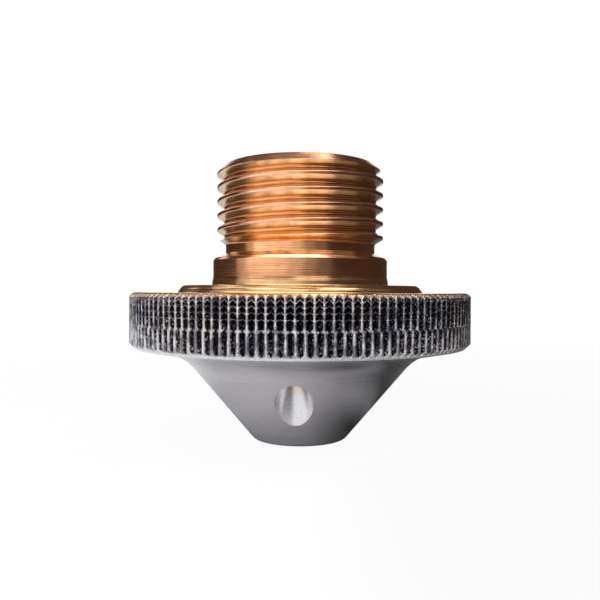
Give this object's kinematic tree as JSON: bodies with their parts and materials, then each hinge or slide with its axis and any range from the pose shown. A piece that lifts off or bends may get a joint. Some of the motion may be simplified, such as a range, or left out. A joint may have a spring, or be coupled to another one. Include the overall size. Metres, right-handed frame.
{
  "type": "laser cutting nozzle",
  "caption": "Turned copper nozzle for a laser cutting head: threaded inlet, pilot collar, straight-knurled flange and plated cone with a central gas orifice.",
  "frame": {"origin": "centre of the flat tip face, where the gas orifice opens, at the lowest point of the part", "axes": "+Z along the turning axis, from the tip towards the threaded inlet; -Y is the side of the spanner hole seen in the picture"},
  "size_m": [0.024, 0.024, 0.0195],
  "materials": {
    "copper": "turned copper, cone and knurl plated bright"
  },
  "bodies": {
    "root": {"nozzle_body": "copper"}
  },
  "joints": []
}
